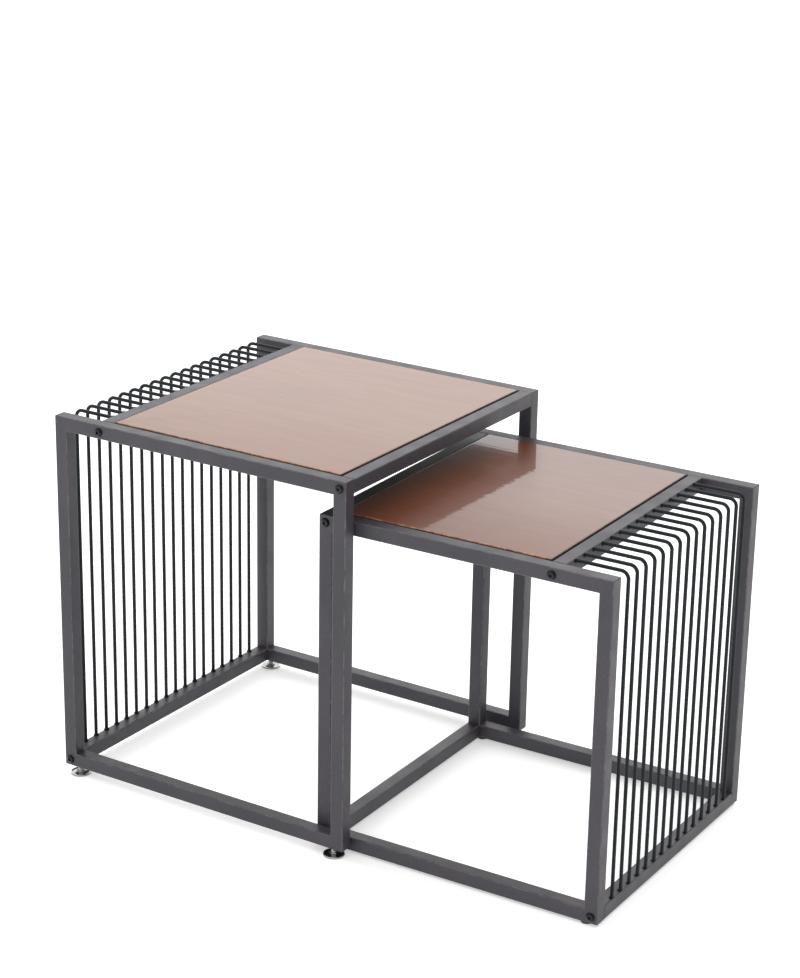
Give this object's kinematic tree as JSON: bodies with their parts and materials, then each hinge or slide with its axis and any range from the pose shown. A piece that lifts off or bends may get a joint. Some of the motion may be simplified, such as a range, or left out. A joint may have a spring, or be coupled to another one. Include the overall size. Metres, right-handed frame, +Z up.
{
  "type": "nesting tables",
  "caption": "Pair of square steel-tube side tables with let-in wood tops and wire-rod side grilles; the smaller one slides under the larger.",
  "frame": {"origin": "on the floor, under the middle of the pair in its stored pose", "axes": "+Z up, +X from the large table's grille towards the small table's grille, which is the way the small table slides out, +Y from front to back"},
  "size_m": [0.8498, 0.5, 0.54],
  "materials": {
    "powder_coat": "matte dark grey powder coat",
    "walnut_top": "reddish-brown stain under gloss lacquer",
    "foot_disc": "bright chrome",
    "zinc_steel": "bright zinc plate",
    "black_bolt": "black oxide",
    "glide_plastic": "matt black"
  },
  "bodies": {
    "large_table": {"large_front_hoop": "powder_coat", "large_back_hoop": "powder_coat", "large_grille": "powder_coat", "large_top_crossbar": "powder_coat", "large_panel": "walnut_top", "large_tab_front_left": "powder_coat", "large_screw_front_left": "zinc_steel", "large_tab_front_right": "powder_coat", "large_screw_front_right": "zinc_steel", "large_tab_back_left": "powder_coat", "large_screw_back_left": "zinc_steel", "large_tab_back_right": "powder_coat", "large_screw_back_right": "zinc_steel", "large_bolt_front_inner": "black_bolt", "large_bolt_back_inner": "black_bolt", "large_bolt_front_grille_foot": "black_bolt", "large_bolt_back_grille_foot": "black_bolt", "large_bolt_front_open_top": "black_bolt", "large_bolt_back_open_top": "black_bolt", "foot_nut_front_left": "zinc_steel", "foot_nut_front_right": "zinc_steel", "foot_nut_back_left": "zinc_steel", "foot_nut_back_right": "zinc_steel"},
    "small_table": {"small_front_hoop": "powder_coat", "small_back_hoop": "powder_coat", "small_grille": "powder_coat", "small_top_crossbar": "powder_coat", "small_bottom_crossbar": "powder_coat", "small_panel": "walnut_top", "small_tab_front_left": "powder_coat", "small_screw_front_left": "zinc_steel", "small_tab_front_right": "powder_coat", "small_screw_front_right": "zinc_steel", "small_tab_back_left": "powder_coat", "small_screw_back_left": "zinc_steel", "small_tab_back_right": "powder_coat", "small_screw_back_right": "zinc_steel", "small_bolt_front_inner": "black_bolt", "small_bolt_back_inner": "black_bolt", "small_bolt_front_grille_foot": "black_bolt", "small_bolt_back_grille_foot": "black_bolt", "small_bolt_front_open_top": "black_bolt", "small_bolt_back_open_top": "black_bolt", "small_bolt_front_open_bottom": "black_bolt", "small_bolt_back_open_bottom": "black_bolt", "glide_front_left": "glide_plastic", "glide_front_right": "glide_plastic", "glide_back_left": "glide_plastic", "glide_back_right": "glide_plastic"},
    "foot_front_left": {"foot_pad_front_left": "foot_disc", "foot_stem_front_left": "zinc_steel"},
    "foot_front_right": {"foot_pad_front_right": "foot_disc", "foot_stem_front_right": "zinc_steel"},
    "foot_back_left": {"foot_pad_back_left": "foot_disc", "foot_stem_back_left": "zinc_steel"},
    "foot_back_right": {"foot_pad_back_right": "foot_disc", "foot_stem_back_right": "zinc_steel"}
  },
  "joints": [
    {"name": "small_table_slide", "type": "slide", "parent": "large_table", "child": "small_table", "axis": [1, 0, 0], "range_m": [-0.389, 0.3]},
    {"name": "foot_front_left_height", "type": "slide", "parent": "large_table", "child": "foot_front_left", "axis": [0, 0, 1], "range_m": [-0.006, 0.006]},
    {"name": "foot_front_right_height", "type": "slide", "parent": "large_table", "child": "foot_front_right", "axis": [0, 0, 1], "range_m": [-0.006, 0.006]},
    {"name": "foot_back_left_height", "type": "slide", "parent": "large_table", "child": "foot_back_left", "axis": [0, 0, 1], "range_m": [-0.006, 0.006]},
    {"name": "foot_back_right_height", "type": "slide", "parent": "large_table", "child": "foot_back_right", "axis": [0, 0, 1], "range_m": [-0.006, 0.006]}
  ]
}
